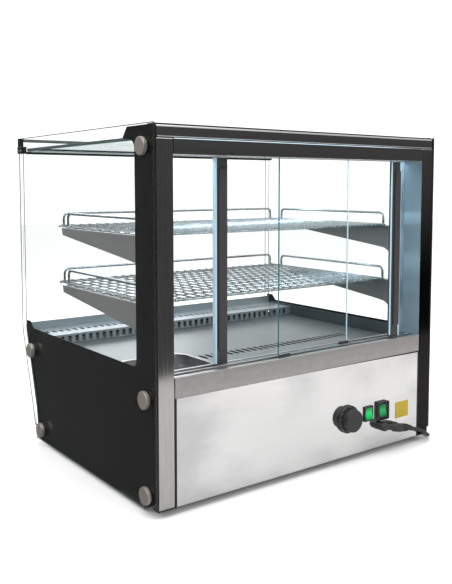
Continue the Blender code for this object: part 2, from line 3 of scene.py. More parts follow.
from math import cos, pi, radians, sin

import bpy
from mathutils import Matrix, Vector


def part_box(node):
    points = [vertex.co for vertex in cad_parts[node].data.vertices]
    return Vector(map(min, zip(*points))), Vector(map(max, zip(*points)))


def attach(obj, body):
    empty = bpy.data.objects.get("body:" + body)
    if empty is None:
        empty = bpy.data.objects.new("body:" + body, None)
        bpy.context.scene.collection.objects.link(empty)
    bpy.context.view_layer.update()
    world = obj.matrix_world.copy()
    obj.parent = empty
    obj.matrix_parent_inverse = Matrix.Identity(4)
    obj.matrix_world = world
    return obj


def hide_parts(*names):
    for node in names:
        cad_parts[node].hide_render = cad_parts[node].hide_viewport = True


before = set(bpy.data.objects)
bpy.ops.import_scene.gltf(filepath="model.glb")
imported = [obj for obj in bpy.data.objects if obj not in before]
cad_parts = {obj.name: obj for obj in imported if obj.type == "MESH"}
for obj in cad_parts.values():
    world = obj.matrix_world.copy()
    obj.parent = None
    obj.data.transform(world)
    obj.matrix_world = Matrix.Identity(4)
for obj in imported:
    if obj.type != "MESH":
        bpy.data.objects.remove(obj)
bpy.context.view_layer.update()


# ---------------------------------------------------------------- viewpoint and room
# The case is seen from the operator's side, from just under the height of its roof. It stands on a
# pale table with a plain pale floor round it; the room is dim at eye level and bright overhead, so
# that polished steel shows the table below and the dark room above, as it does in a studio.
eye = bpy.data.objects.new("camera", bpy.data.cameras.new("camera"))
eye.data.lens = 46.70
eye.data.shift_y = -0.083
eye.location = (0.9834, 1.3198, 0.5552)
eye.rotation_euler = (radians(90 - 4.362), 0, radians(143.381))
bpy.context.collection.objects.link(eye)
bpy.context.scene.camera = eye
bpy.context.scene.view_settings.view_transform = "Standard"


def deselect():
    for thing in list(bpy.context.selected_objects):
        thing.select_set(False)


class Wire:
    """One socket of a material. Arithmetic on it adds the Math nodes that do the sum."""

    def __init__(self, paint, socket):
        self.paint, self.socket = paint, socket

    def sum(self, operation, *values):
        return self.paint.node("ShaderNodeMath", {"operation": operation}, dict(enumerate(values or (self,))))

    def __add__(self, other): return self.sum("ADD", self, other)
    def __radd__(self, other): return self.sum("ADD", other, self)
    def __rsub__(self, other): return self.sum("SUBTRACT", other, self)
    def __mul__(self, other): return self.sum("MULTIPLY", self, other)
    def __rmul__(self, other): return self.sum("MULTIPLY", other, self)
    def __pow__(self, other): return self.sum("POWER", self, other)
    def __gt__(self, other): return self.sum("GREATER_THAN", self, other)
    def __abs__(self): return self.sum("ABSOLUTE", self)

    def fade(self, low, high):
        """0 below low, 1 above high, smooth between them."""
        return self.paint.node("ShaderNodeMapRange", {"interpolation_type": "SMOOTHSTEP"},
                               {"Value": self, "From Min": low, "From Max": high})


class Paint:
    """A finish being mixed: a Principled shader, and the nodes that vary it over the surface."""

    def __init__(self, name, colour=(0.5, 0.5, 0.5), **constants):
        self.material = bpy.data.materials.new(name)
        self.material.use_nodes = True
        self.tree = self.material.node_tree
        self.shader = self.tree.nodes["Principled BSDF"]
        self.shader.inputs["Base Color"].default_value = (*colour, 1)
        for words, value in constants.items():
            self.shader.inputs[words.replace("_", " ").title().replace("Ior", "IOR")].default_value = value

    def node(self, kind, settings=None, sockets=None, out=0):
        """Any node: its settings first, then the values or links of its sockets."""
        made = self.tree.nodes.new(kind)
        for key, value in (settings or {}).items():
            setattr(made, key, value)
        for key, value in (sockets or {}).items():
            if isinstance(value, Wire):
                self.tree.links.new(value.socket, made.inputs[key])
            else:
                made.inputs[key].default_value = value
        return Wire(self, made.outputs[out])

    def here(self):
        """Object coordinates."""
        return self.node("ShaderNodeTexCoord", out=3)

    def place(self, scale=(1, 1, 1)):
        """Object coordinates, stretched."""
        return self.node("ShaderNodeMapping", None, {"Vector": self.here(), "Scale": scale})

    def axis(self, letter):
        return self.node("ShaderNodeSeparateXYZ", None, {0: self.here()}, out="XYZ".index(letter))

    def noise(self, scale, detail=3.0, where=None, rough=0.55):
        where = where or self.place()
        return self.node("ShaderNodeTexNoise", None,
                         {"Vector": where, "Scale": scale, "Detail": detail, "Roughness": rough})

    def blend(self, low, high, mask):
        """A colour that goes from low to high with the mask."""
        low, high = (end if isinstance(end, Wire) else (*end, 1) for end in (low, high))
        return self.node("ShaderNodeMix", {"data_type": "RGBA"}, {0: mask, 6: low, 7: high}, out=2)

    def feed(self, name, wire):
        self.tree.links.new(wire.socket, self.shader.inputs[name])

    def colour(self, low, high, mask):
        """A base colour that goes from low to high with the mask."""
        self.feed("Base Color", self.blend(low, high, mask))

    def bump(self, height, strength, distance):
        self.feed("Normal", self.node("ShaderNodeBump", None,
                                      {"Height": height, "Strength": strength, "Distance": distance}))


def flat_board(name, finish, middle, size, turn=(0, 0, 0)):
    """A board that lies or stands near the case and isn't part of it."""
    deselect()
    bpy.ops.mesh.primitive_plane_add(size=1, location=middle)
    made = bpy.context.object
    made.name, made.scale, made.rotation_euler = name, (*size, 1), turn
    bpy.ops.object.transform_apply(location=True, rotation=True, scale=True)
    made.data.materials.append(finish.material)
    return made


def only_reflected(made):
    made.visible_camera = made.visible_diffuse = made.visible_shadow = made.visible_transmission = False


# The floor is matt white board, faintly mottled. Steel doesn't reflect it: it reflects the grey
# board that lies at the operator's side of the case instead, which nothing else sees.
board = Paint("white_board", (0.93, 0.93, 0.925), roughness=0.6)
board.colour((0.925, 0.925, 0.92), (0.945, 0.945, 0.94), board.noise(6))
flat_board("floor", board, (0, 0, 0), (18, 18)).visible_glossy = False
grey_board = Paint("grey_board", (0.50, 0.49, 0.48), roughness=0.6)
grey_board.colour((0.47, 0.46, 0.45), (0.56, 0.55, 0.54), grey_board.noise(3))
only_reflected(flat_board("table", grey_board, (-0.77, 0.59, 0.0002), (2.26, 0.94)))

# White cards stand past the front of the case and its far side. Only reflections see them, as the
# roof glass does from below.
CARD_HEIGHT = 0.9
card = Paint("white_card", (0.02, 0.02, 0.02), roughness=0.6, emission_strength=1.1)
card.feed("Emission Color", card.blend((0.96, 0.97, 0.98), (1.0, 1.0, 1.0), card.noise(2)))
for name, middle, length, turn in (("card_behind", (-1.25, -1.55, 0.30), 3.2, -36.6),
                                   ("card_side", (-2.3, -0.6, 0.30), 1.6, -90)):
    only_reflected(flat_board(name, card, middle, (length, CARD_HEIGHT), (radians(90), 0, radians(turn))))

# The room behind the viewer: dim at the horizon and white above, plain white where it is looked at.
room = bpy.data.worlds.new("room")
room.use_nodes = True
bpy.context.scene.world = room
sky = room.node_tree
mirror_ray = sky.nodes.new("ShaderNodeLightPath").outputs["Is Glossy Ray"]
height = sky.nodes.new("ShaderNodeSeparateXYZ")
sky.links.new(sky.nodes.new("ShaderNodeTexCoord").outputs["Generated"], height.inputs[0])
shade = sky.nodes.new("ShaderNodeValToRGB")
for place, level in ((0.0, 0.10), (0.48, 0.075), (0.60, 0.085), (0.72, 1.0), (1.0, 1.3)):
    stop = shade.color_ramp.elements.new(place)
    stop.color = (level, level, level * 1.02, 1)
shade.color_ramp.elements.remove(shade.color_ramp.elements[0])
shade.color_ramp.elements.remove(shade.color_ramp.elements[-1])
lift = sky.nodes.new("ShaderNodeMapRange")
lift.inputs["From Min"].default_value = -1
sky.links.new(height.outputs["Z"], lift.inputs["Value"])
sky.links.new(lift.outputs[0], shade.inputs["Fac"])
choice = sky.nodes.new("ShaderNodeMix")
choice.data_type = "RGBA"
choice.inputs[6].default_value = (1.3, 1.3, 1.3, 1)
sky.links.new(mirror_ray, choice.inputs[0])
sky.links.new(shade.outputs["Color"], choice.inputs[7])
sky.links.new(choice.outputs[2], sky.nodes["Background"].inputs["Color"])


def area_lamp(name, place, size, power):
    made = bpy.data.objects.new(name, bpy.data.lights.new(name, "AREA"))
    made.data.size, made.data.energy, made.location = size, power, place
    bpy.context.collection.objects.link(made)
    return made


for name, place, aim, size, power in (
        ("overhead", (0.2, 0.3, 2.4), (0, 0, 0), 2.6, 30),
        ("left_fill", (2.6, 0.6, 1.9), (0, 0, 0.3), 1.2, 14),
        ("front_fill", (-0.9, -2.6, 1.7), (0, 0, 0.3), 1.4, 18)):
    lamp = area_lamp(name, place, size, power)
    lamp.rotation_euler = (Vector(aim) - Vector(place)).to_track_quat("-Z", "Y").to_euler()


# ---------------------------------------------------------------- mains lead
# Rubber-sheathed three-core flex, 8 mm across, moulded into its plug. It leaves the panel through
# an elbow bush, drops to the table round the back corner, and the rest lies in a tied coil.
LEAD = 0.008
BUSH = Vector((-0.190, 0.2858, 0.0600))
OUT = Vector((-1.0, 0.03, -0.24)).normalized()
PLUG_IN = Vector((-0.4475, -0.0740, 0.0183))
PLUG_WAY = Vector((-0.62, -0.785, 0.0)).normalized()
COIL = Vector((-0.430, 0.045, 0.0))
LOW, TOP = 0.0042, 0.0122
PANEL_Y = 0.2741

start = BUSH + OUT * 0.0743
route = [start, start + OUT * 0.016, start + OUT * 0.032] + [Vector(p) for p in (
    (-0.3120, 0.2885, 0.0265), (-0.3270, 0.2862, 0.0180), (-0.3400, 0.2805, 0.0115),
    (-0.3505, 0.2715, 0.0072), (-0.3585, 0.2600, 0.0050), (-0.3640, 0.2460, 0.0043),
    (-0.3675, 0.2290, 0.0042), (-0.3692, 0.2080, 0.0042), (-0.3702, 0.1850, 0.0042),
    (-0.3710, 0.1600, 0.0042), (-0.3725, 0.1300, 0.0042), (-0.3750, 0.1030, 0.0042),
    (-0.3772, 0.0800, 0.0042))]
# Turns of the coil: how far round, how far out, how high. Each layer steps across near the case.
turns = [(20, 0.0590, LOW), (0, 0.0520, LOW), (-300, 0.0520, LOW), (-360, 0.0440, LOW),
         (-660, 0.0440, LOW), (-720, 0.0360, LOW), (-950, 0.0360, LOW), (-985, 0.0362, 0.0085),
         (-1025, 0.0398, TOP), (-1380, 0.0400, TOP), (-1440, 0.0480, TOP), (-1740, 0.0480, TOP),
         (-1800, 0.0565, TOP), (-1815, 0.0588, 0.0106), (-1832, 0.0605, 0.0068), (-1850, 0.0614, LOW)]


def ease(t):
    """From 0 to 1, starting and ending level."""
    return t * t * (3 - 2 * t)


def on_coil(turn, out, height):
    angle = radians(turn)
    return COIL + Vector((cos(angle), sin(angle), 0)) * out + Vector((0, 0, height))


for (a, r, z), (b, s, y) in zip(turns, turns[1:]):
    steps = max(1, round((a - b) / 20))
    for t in (step / steps for step in range(steps)):
        route.append(on_coil(a + (b - a) * t, r + (s - r) * ease(t), z + (y - z) * ease(t)))
last = on_coil(*turns[-1])
tail_end = PLUG_IN - PLUG_WAY * 0.020
for t in (0.0, 0.2, 0.4, 0.6, 0.8):
    flat = last.lerp(tail_end, t)
    route.append(Vector((flat.x, flat.y, LOW + (PLUG_IN.z - LOW) * ease(t))))
route += [tail_end, PLUG_IN - PLUG_WAY * 0.010, PLUG_IN]

flex = bpy.data.curves.new("mains_lead", "CURVE")
flex.dimensions = "3D"
flex.bevel_depth, flex.bevel_resolution, flex.resolution_u = LEAD / 2, 3, 5
flex.use_fill_caps = True
line = flex.splines.new("BEZIER")
line.bezier_points.add(len(route) - 1)
for knot, point in zip(line.bezier_points, route):
    knot.co = point
    knot.handle_left_type = knot.handle_right_type = "AUTO"
lead = bpy.data.objects.new("mains_lead", flex)
bpy.context.collection.objects.link(lead)
sheath = Paint("rubber_sheath", (0.018, 0.018, 0.019), roughness=0.5)
sheath.feed("Roughness", 0.42 + 0.2 * sheath.noise(140))
sheath.bump(sheath.noise(900, 2), 0.15, 0.0003)
flex.materials.append(sheath.material)


def pick(made):
    """Selects one object and no other."""
    deselect()
    made.select_set(True)
    bpy.context.view_layer.objects.active = made


def choose(made, kind, test):
    """Opens an object for editing with the faces or vertices that pass the test selected."""
    pick(made)
    bpy.ops.object.mode_set(mode="EDIT")
    bpy.ops.mesh.select_mode(type=kind)
    bpy.ops.mesh.select_all(action="DESELECT")
    bpy.ops.object.mode_set(mode="OBJECT")
    for part in made.data.polygons if kind == "FACE" else made.data.vertices:
        part.select = test(part)
    bpy.ops.object.mode_set(mode="EDIT")


def block(name, low, high):
    """A block between two corners, its place in its mesh."""
    deselect()
    low, high = Vector(low), Vector(high)
    bpy.ops.mesh.primitive_cube_add(size=1, location=(low + high) / 2)
    made = bpy.context.object
    made.name, made.scale = name, high - low
    bpy.ops.object.transform_apply(location=True, rotation=True, scale=True)
    return made


def finish_with(made, kind, **settings):
    """Adds a modifier and applies it."""
    step = made.modifiers.new(kind.lower(), kind)
    for key, value in settings.items():
        setattr(step, key, value)
    bpy.context.view_layer.objects.active = made
    bpy.ops.object.modifier_apply(modifier=step.name)
    return made


def soften(made, width, segments=2, **settings):
    """Small rounded edges, where faces meet at more than 30 degrees."""
    return finish_with(made, "BEVEL", width=width, segments=segments, limit_method="ANGLE",
                       angle_limit=radians(30), **settings)


def stood(made, foot, along):
    """Stands a piece made upright at the origin on its foot, along its axis."""
    pick(made)
    made.rotation_euler = Vector(along).to_track_quat("Z", "Y").to_euler()
    made.location = foot
    bpy.ops.object.transform_apply(location=True, rotation=True, scale=True)
    return made


def turned(name, profile, foot, along, sides=32):
    """A lathe-turned piece: a ring is drawn out and scaled from station to station along its axis."""
    deselect()
    first = profile[0]
    bpy.ops.mesh.primitive_circle_add(vertices=sides, radius=first[0], fill_type="NGON")
    made = bpy.context.object
    made.name = name
    bpy.ops.object.mode_set(mode="EDIT")
    bpy.ops.mesh.select_all(action="SELECT")
    bpy.ops.transform.translate(value=(0, 0, first[1]))
    for (r, z), (s, y) in zip(profile, profile[1:]):
        bpy.ops.mesh.extrude_region_move(TRANSFORM_OT_translate={"value": (0, 0, y - z)})
        bpy.ops.transform.resize(value=(s / r, s / r, 1))
    bpy.ops.mesh.select_all(action="SELECT")
    bpy.ops.mesh.normals_make_consistent(inside=False)
    bpy.ops.object.mode_set(mode="OBJECT")
    return stood(made, foot, along)


def joined(name, parts):
    """One piece out of several, under one name."""
    pick(parts[0])
    for part in parts:
        part.select_set(True)
    bpy.ops.object.join()
    made = bpy.context.object
    made.name = name
    return made


def done(made, body, paint, node=None, smooth=30):
    """The piece is finished: its shading, its material, the body that it moves with, and the CAD
    node that it stands for, if there is one."""
    pick(made)
    if smooth:
        bpy.ops.object.shade_smooth_by_angle(angle=radians(smooth))
        finish_with(made, "WEIGHTED_NORMAL", keep_sharp=True, weight=80)
    if paint:
        made.data.materials.clear()
        made.data.materials.append(paint.material)
    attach(made, body)
    if node:
        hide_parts(node)
    return made




moulding = Paint("moulded_rubber", (0.020, 0.020, 0.021), roughness=0.42)
moulding.feed("Roughness", 0.36 + 0.2 * moulding.noise(90))
moulding.bump(moulding.noise(1400, 2), 0.12, 0.0002)
plug_body = turned("plug_body", [
    (0.0056, 0.0003), (0.0060, 0.006), (0.0063, 0.014), (0.0072, 0.022), (0.0110, 0.0262), (0.0150, 0.0300),
    (0.0172, 0.0345), (0.0178, 0.040), (0.0170, 0.0415), (0.0170, 0.0430), (0.0178, 0.0445), (0.0178, 0.0545),
    (0.0170, 0.0557)], PLUG_IN, PLUG_WAY)
across = PLUG_WAY.cross(Vector((0, 0, 1)))
collars = [turned("collar", [(0.0052, d), (0.0074, d + 0.0003), (0.0074, d + 0.0017), (0.0052, d + 0.002)],
                  PLUG_IN, PLUG_WAY, 24) for d in (0.004, 0.0085, 0.013, 0.0175)]
plug_shape = joined("plug_shape", [plug_body] + collars)
done(plug_shape, "case", moulding, "plug")

nickel = Paint("plated_pin", (0.72, 0.70, 0.66), metallic=1.0, roughness=0.24)
nickel.feed("Roughness", 0.20 + 0.15 * nickel.noise(400, 2))
PIN = [(0.0024, 0.0550), (0.0024, 0.0725), (0.0019, 0.0742), (0.0010, 0.0750)]
pins = joined("plug_pins", [turned("pin", PIN, PLUG_IN + across * shift, PLUG_WAY, 20)
                            for shift in (-0.0095, 0.0095)])
done(pins, "case", nickel)

# The bush: a nut on the panel and a stepped sleeve, ribbed where it bends with the flex.
nut = turned("bush_nut", [(0.0090, 0), (0.0095, 0.0005), (0.0095, 0.0155), (0.0088, 0.0165), (0.0075, 0.020),
                          (0.0060, 0.0205)], (BUSH.x, PANEL_Y, BUSH.z), (0, 1, 0), 12)
sleeve = turned("bush_sleeve", [
    (0.0060, -0.004), (0.0062, 0.010), (0.0066, 0.028), (0.0082, 0.0295), (0.0088, 0.031), (0.0088, 0.050),
    (0.0084, 0.052), (0.0070, 0.054), (0.0068, 0.057), (0.0052, 0.074)], BUSH, OUT, 28)
ribs = [turned("bush_rib", [(r - 0.0006, d), (r + 0.0008, d + 0.0004), (r + 0.0008, d + 0.0022),
                            (r - 0.0006, d + 0.0026)], BUSH, OUT, 24)
        for d, r in ((0.056, 0.0066), (0.0600, 0.0062), (0.0640, 0.0059), (0.0680, 0.0056))]
bush = joined("cable_bush", [nut, sleeve] + ribs)
done(bush, "case", moulding, "cable_relief")

# The head of the tie that holds the coil, standing on the top layer of its turns.
tie = soften(block("coil_tie", (-0.0030, -0.0034, 0.0120), (0.0045, 0.0034, 0.0160)), 0.0008, 2)
tie.location = COIL + Vector((-0.044, 0, 0.0043))
bpy.ops.object.transform_apply(location=True, rotation=True, scale=True)
nylon = Paint("black_nylon", (0.025, 0.025, 0.026), roughness=0.35)
nylon.bump(nylon.noise(700, 2), 0.1, 0.0002)
done(tie, "case", nylon)

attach(lead, "case")
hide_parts("cord_lead", "cord_coil", "cord_tail")


# ---------------------------------------------------------------- glass
# Tempered float glass: two 5 mm sides, one 5 mm front bent at the knee, a 6 mm roof. The edges are
# ground and their corners broken with a small bevel, painted dark to draw the thin dark line along each edge.
def shape_of(node, name):
    """A copy of a CAD node to work on, its loose triangles merged back into flat faces."""
    made = bpy.data.objects.new(name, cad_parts[node].data.copy())
    bpy.context.collection.objects.link(made)
    pick(made)
    made.data.materials.clear()
    bpy.ops.object.mode_set(mode="EDIT")
    bpy.ops.mesh.select_all(action="SELECT")
    bpy.ops.mesh.remove_doubles(threshold=1e-5)
    bpy.ops.mesh.dissolve_limited(angle_limit=radians(0.5))
    bpy.ops.mesh.normals_make_consistent(inside=False)
    bpy.ops.object.mode_set(mode="OBJECT")
    return made


def see_through(name, tint, shine, sheen=0.4):
    """Thin clear sheet: what is behind it, with a mirror reflection that grows towards grazing."""
    paint = Paint(name, tint, roughness=0.02)
    tree = paint.tree
    gloss = paint.node("ShaderNodeBsdfGlossy", None, {"Color": (0.9, 0.97, 0.98, 1), "Roughness": 0.015})
    clear = paint.node("ShaderNodeBsdfTransparent", None, {"Color": (*tint, 1)})
    grazing = paint.node("ShaderNodeLayerWeight", None, {"Blend": 0.5}, out=1)
    smear = paint.noise(9, 4).fade(0.35, 0.75)
    mirrored = shine * (0.9 + 0.2 * smear) + sheen * grazing ** 5
    mixed = paint.node("ShaderNodeMixShader", None, {0: mirrored, 1: clear, 2: gloss})
    tree.links.new(mixed.socket, tree.nodes["Material Output"].inputs["Surface"])
    tree.nodes.remove(paint.shader)
    return paint


pane_clear = see_through("clear_pane", (0.992, 0.999, 0.997), 0.022)
roof_clear = see_through("clear_roof", (0.992, 0.999, 0.997), 0.02, 0.85)
# The bevels' dark colour is painted: it draws the dark line along the glass edges.
edge_dull = Paint("dark_corner_line", (0.035, 0.045, 0.043), roughness=0.6)
edge_dull.colour((0.026, 0.034, 0.032), (0.060, 0.075, 0.070), edge_dull.noise(60))
edge_dark = Paint("deep_edge", (0.05, 0.08, 0.08), roughness=0.2)
edge_dark.colour((0.030, 0.045, 0.043), (0.085, 0.120, 0.115), edge_dark.noise(30))
edge_black = Paint("printed_edge", (0.014, 0.014, 0.014), roughness=0.25)
edge_black.feed("Roughness", 0.2 + 0.15 * edge_black.noise(80))


def pane(node, thin, edge, corner, clear=pane_clear):
    """A pane from its CAD node: broken corners, clear faces, and its edge faces in their own paint."""
    made = shape_of(node, f"{node}_pane")
    for paint in (clear, edge_dull, edge):
        made.data.materials.append(paint.material)
    soften(made, corner, 1, material=1)
    for face in made.data.polygons:
        if face.material_index == 0 and thin(face.normal):
            face.material_index = 2
    return made


for side in ("near", "far"):
    glass = pane(f"side_glass_{side}", lambda n: n.y > 0.9, edge_black, 0.0011)
    for face in glass.data.polygons:
        if face.material_index == 1 and face.center.y > 0.21:
            face.material_index = 2
    done(glass, "case", None, f"side_glass_{side}", smooth=0)
front = pane("front_glass", lambda n: abs(n.x) > 0.9, pane_clear, 0.0011)
bpy.context.view_layer.objects.active = front
bpy.ops.object.shade_smooth_by_angle(angle=radians(14))
done(front, "case", None, "front_glass", smooth=0)
# The roof pane is laid with a slight fall to the front.
roof = pane("roof_glass", lambda n: abs(n.z) < 0.5, edge_dark, 0.0008, roof_clear)
for vertex in roof.data.vertices:
    vertex.co.z -= 0.0025 + 0.0020 * (0.27 - vertex.co.y) / 0.55
done(roof, "case", None, "roof_glass", smooth=0)

# Dark silicone bead along the inside of the front glass, just under its top edge.
silicone = Paint("silicone_bead", (0.075, 0.098, 0.095), roughness=0.35)
silicone.colour((0.055, 0.074, 0.072), (0.105, 0.130, 0.126), silicone.noise(25, 3))
bead = soften(block("front_top_bead", (-0.3436, -0.2888, 0.6500), (0.3436, -0.2878, 0.6562)), 0.0004, 2)
done(bead, "case", silicone)


# ---------------------------------------------------------------- black print
# Black enamel fired onto the inside of the side glasses: a solid lower panel, a column up the rear
# edge and an ear at its top, left clear where one looks in. The front has a band at the bottom.
def outline(name, corners, axis, low, high, rounds=()):
    """A plate: its corners are drawn one after another, filled, rounded and pulled to a thickness."""
    deselect()
    lift = {"X": lambda a, b, d: Vector((d, a, b)), "Y": lambda a, b, d: Vector((a, d, b)),
            "Z": lambda a, b, d: Vector((a, b, d))}[axis]
    places = [lift(a, b, low) for a, b in corners]
    bpy.ops.mesh.primitive_plane_add(size=0.001, location=(0, 0, 0))
    made = bpy.context.object
    made.name = name
    choose(made, "VERT", lambda vertex: vertex.index > 0)
    bpy.ops.mesh.delete(type="VERT")
    bpy.ops.mesh.select_all(action="SELECT")
    bpy.ops.transform.translate(value=places[0] - Vector((-0.0005, -0.0005, 0)))
    for here, there in zip(places, places[1:]):
        bpy.ops.mesh.extrude_region_move(TRANSFORM_OT_translate={"value": there - here})
    bpy.ops.mesh.select_all(action="SELECT")
    bpy.ops.mesh.edge_face_add()
    for number, radius in rounds:
        bpy.ops.object.mode_set(mode="OBJECT")
        choose(made, "VERT", lambda vertex: (vertex.co - places[number]).length < 1e-5)
        bpy.ops.mesh.bevel(offset=radius, segments=6, affect="VERTICES", clamp_overlap=True)
    bpy.ops.mesh.select_all(action="SELECT")
    bpy.ops.mesh.extrude_region_move(TRANSFORM_OT_translate={"value": lift(0, 0, high - low)})
    bpy.ops.mesh.select_all(action="SELECT")
    bpy.ops.mesh.normals_make_consistent(inside=False)
    bpy.ops.object.mode_set(mode="OBJECT")
    return made


def carve(made, tool, operation="DIFFERENCE", keep=False):
    """Cuts the tool out of the piece, or joins it on."""
    finish_with(made, "BOOLEAN", operation=operation, object=tool, solver="EXACT")
    if not keep:
        bpy.data.objects.remove(tool, do_unlink=True)


# The print is a thin film just inside the glass's inner face. It stops under the roof line.
ROOF_LINE = 0.6552
enamel = Paint("black_enamel", (0.0100, 0.0095, 0.0095), roughness=0.16, specular_ior_level=0.20)
enamel.colour((0.0070, 0.0068, 0.0068), (0.0130, 0.0120, 0.0112), enamel.noise(5, 4))
enamel.feed("Roughness", 0.14 + 0.10 * enamel.noise(11, 4))
for side, inside, outside in (("near", 0.34555, 0.34590), ("far", -0.34590, -0.34555)):
    sheet = shape_of(f"side_glass_{side}", f"side_print_{side}")
    window = outline("window", [
        (-0.32, 0.70), (0.1700, 0.70), (0.1795, ROOF_LINE), (0.1640, 0.6365), (0.2045, 0.6310),
        (0.2055, 0.2460), (-0.2425, 0.2455), (-0.2560, 0.2590), (-0.32, 0.2590)],
        "X", inside - 0.02, outside + 0.02, rounds=((4, 0.014), (5, 0.011)))
    carve(sheet, window)
    carve(sheet, block("trim", (inside - 0.03, 0.05, ROOF_LINE), (inside + 0.03, 0.30, 0.70)))
    low_x = min(v.co.x for v in sheet.data.vertices)
    span = max(v.co.x for v in sheet.data.vertices) - low_x
    for vertex in sheet.data.vertices:
        vertex.co.x = inside + (vertex.co.x - low_x) / span * (outside - inside)
        vertex.co.y = max(min(vertex.co.y, 0.2732), vertex.co.y * 0.9985)
    done(sheet, "case", enamel, smooth=0)

# The front's band: the inner face of the front glass up to the height of the sides' windows.
band = shape_of("front_glass", "front_print")
choose(band, "FACE", lambda face: face.normal.y < 0.3 or abs(face.normal.x) > 0.5)
bpy.ops.mesh.delete(type="FACE")
bpy.ops.mesh.select_all(action="SELECT")
bpy.ops.mesh.bisect(plane_co=(0, 0, 0.2450), plane_no=(0, 0, 1), clear_outer=True)
bpy.ops.mesh.select_all(action="SELECT")
bpy.ops.transform.resize(value=(0.9795, 1, 1))
bpy.ops.transform.translate(value=(0, 0.0004, 0))
bpy.ops.object.mode_set(mode="OBJECT")
finish_with(band, "SOLIDIFY", thickness=0.0003, offset=0.0)
done(band, "case", enamel, smooth=14)


# ---------------------------------------------------------------- stand-off caps
# Satin stainless caps, screwed through the side glass into the body behind it, each on a thin
# washer, which is black on the case but is turned here in one with the cap and in its satin finish. Their
# faces are turned and their rims broken.
satin = Paint("satin_cap", (0.40, 0.375, 0.345), metallic=0.75, roughness=0.36)
grain = satin.noise(300, 3, satin.place((1, 0.15, 1)))
satin.colour((0.34, 0.31, 0.28), (0.50, 0.46, 0.42), grain)
satin.feed("Roughness", 0.30 + 0.14 * grain)
satin.bump(grain, 0.12, 0.0002)
GLASS_FACE = 0.3513


def centre_of(node):
    low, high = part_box(node)
    return [(a + b) / 2 for a, b in zip(low, high)]


for side, way in (("near", 1), ("far", -1)):
    for spot in ("top", "rear_mid", "rear_low", "front_mid", "front_low"):
        node = f"cap_{side}_{spot}"
        _, y, z = centre_of(node)
        cap = turned(f"{node}_shape", [
            (0.0140, 0.0), (0.0146, 0.0002), (0.0146, 0.0012), (0.0155, 0.0014), (0.0155, 0.0064),
            (0.0151, 0.0073), (0.0143, 0.0078), (0.0132, 0.0080)], (GLASS_FACE * way, y, z), (way, 0, 0), 40)
        done(cap, "case", satin, node)


# ---------------------------------------------------------------- posts and head
# Folded and mirror-polished stainless: two rear posts, two inner columns, the door head with its
# tracks and the closing profile of the roof. Folds are rounded, and the polish is slightly wavy.
def refined(node, fold, segments, body, paint, name=None):
    """A CAD node's own shape with its folds and corners rounded, finished to stand for the node."""
    made = soften(shape_of(node, name or f"{node}_shape"), fold, segments)
    return done(made, body, paint, node)


mirror = Paint("polished_post", (0.55, 0.54, 0.53), metallic=1.0, roughness=0.05)
wave = mirror.noise(7, 2, mirror.place((1, 1, 0.35)))
streak = mirror.noise(40, 4, mirror.place((6, 6, 0.25)))
mirror.colour((0.44, 0.43, 0.42), (0.62, 0.61, 0.60), streak)
mirror.feed("Roughness", 0.05 + 0.10 * streak)
mirror.bump(wave, 0.25, 0.002)
# The far post is the same polished steel as the near one. Its outer face is painted darker for the dark
# reflections it shows, near black at the foot and lighter towards the top, and its inward face is painted
# light blue for the reflected glow of the lamps inside.
far_post_painted = Paint("far_post_painted_reflection", (0.30, 0.28, 0.27), metallic=1.0, roughness=0.08)
haze = far_post_painted.noise(40, 4, far_post_painted.place((6, 6, 0.25)))
outer_face_painted_reflection = far_post_painted.blend((0.020, 0.018, 0.018), (0.50, 0.46, 0.44),
                         far_post_painted.axis("Z").fade(0.34, 0.66) * (0.8 + 0.4 * haze))
outward = far_post_painted.axis("Y") > 0.2725
far_post_painted.colour((0.26, 0.36, 0.42), outer_face_painted_reflection, outward)
far_post_painted.feed("Metallic", 0.55 + 0.45 * outward)
far_post_painted.feed("Roughness", 0.06 + 0.10 * haze)
# The columns' light blue, varying in soft waves, is painted reflection of the lamps inside.
column_painted_reflection = Paint("inner_column_painted_reflection", (0.30, 0.40, 0.46), metallic=0.55, roughness=0.25)
ripple = column_painted_reflection.noise(14, 3, column_painted_reflection.place((1, 1, 0.6)))
column_painted_reflection.colour((0.16, 0.24, 0.29), (0.38, 0.49, 0.55), ripple.fade(0.35, 0.65))
column_painted_reflection.feed("Roughness", 0.14 + 0.16 * ripple)
for side, finish in (("near", mirror), ("far", far_post_painted)):
    refined(f"post_{side}", 0.0012, 3, "case", finish)
    refined(f"column_{side}", 0.0010, 2, "case", column_painted_reflection)

head_steel = Paint("head_profile", (0.50, 0.495, 0.49), metallic=1.0, roughness=0.10)
along = head_steel.noise(22, 4, head_steel.place((0.12, 3, 3)))
head_steel.colour((0.42, 0.42, 0.425), (0.58, 0.575, 0.565), along)
head_steel.feed("Roughness", 0.06 + 0.12 * along)
head_steel.bump(along, 0.06, 0.0004)
refined("door_head", 0.0014, 3, "case", head_steel)
refined("roof_rear_profile", 0.0055, 6, "case", head_steel, "roof_rear_shape")

# Black gasket line on top of the closing profile, and along the outer edge of both posts.
gasket = Paint("black_gasket", (0.012, 0.012, 0.012), roughness=0.5)
gasket.bump(gasket.noise(500, 2), 0.2, 0.0002)
top_strip = soften(block("roof_gasket", (-0.345, 0.2450, 0.6541), (0.345, 0.2680, 0.6566)), 0.0006, 2)
done(top_strip, "case", gasket)
for side, left, right, foot_left, foot_right in (("near", 0.3086, 0.3121, 0.3086, 0.3455),
                                                 ("far", -0.3121, -0.3086, -0.3455, -0.3086)):
    seal = soften(block(f"post_seal_{side}", (left, 0.2709, 0.0142), (right, 0.2743, 0.2000)), 0.0004, 2)
    foot_seal = block("foot_seal", (foot_left, 0.2560, 0.0128), (foot_right, 0.2742, 0.0139))
    done(joined(f"post_seal_{side}", [seal, soften(foot_seal, 0.0003, 2)]), "case", gasket)


